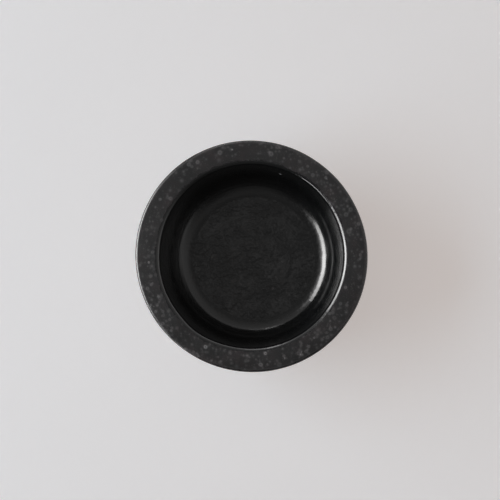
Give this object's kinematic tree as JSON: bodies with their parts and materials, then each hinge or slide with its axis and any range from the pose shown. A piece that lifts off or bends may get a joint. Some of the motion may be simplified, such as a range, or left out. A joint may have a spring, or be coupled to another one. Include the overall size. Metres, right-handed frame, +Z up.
{
  "type": "dappen dish",
  "caption": "Small round free-standing stoneware dappen dish with a steep-walled well, flat speckled rim, gloss black glaze and a turned foot ring.",
  "frame": {"origin": "centre of the foot ring's contact plane, on the dish's axis", "axes": "+Z up along the dish's axis, out of the well; X and Y are any two horizontal directions, because the dish is round"},
  "size_m": [0.06, 0.06, 0.025],
  "materials": {
    "bare_stoneware": "unglazed, finely gritty, matt",
    "gloss_black_glaze": "gloss, with faint throwing rings and orange peel",
    "satin_speckled_glaze": "satin, with soft pale specks"
  },
  "bodies": {
    "root": {"stoneware_body": "bare_stoneware", "well_glaze": "gloss_black_glaze", "rim_glaze": "satin_speckled_glaze", "outer_glaze": "gloss_black_glaze", "foot_recess_glaze": "gloss_black_glaze"}
  },
  "joints": []
}
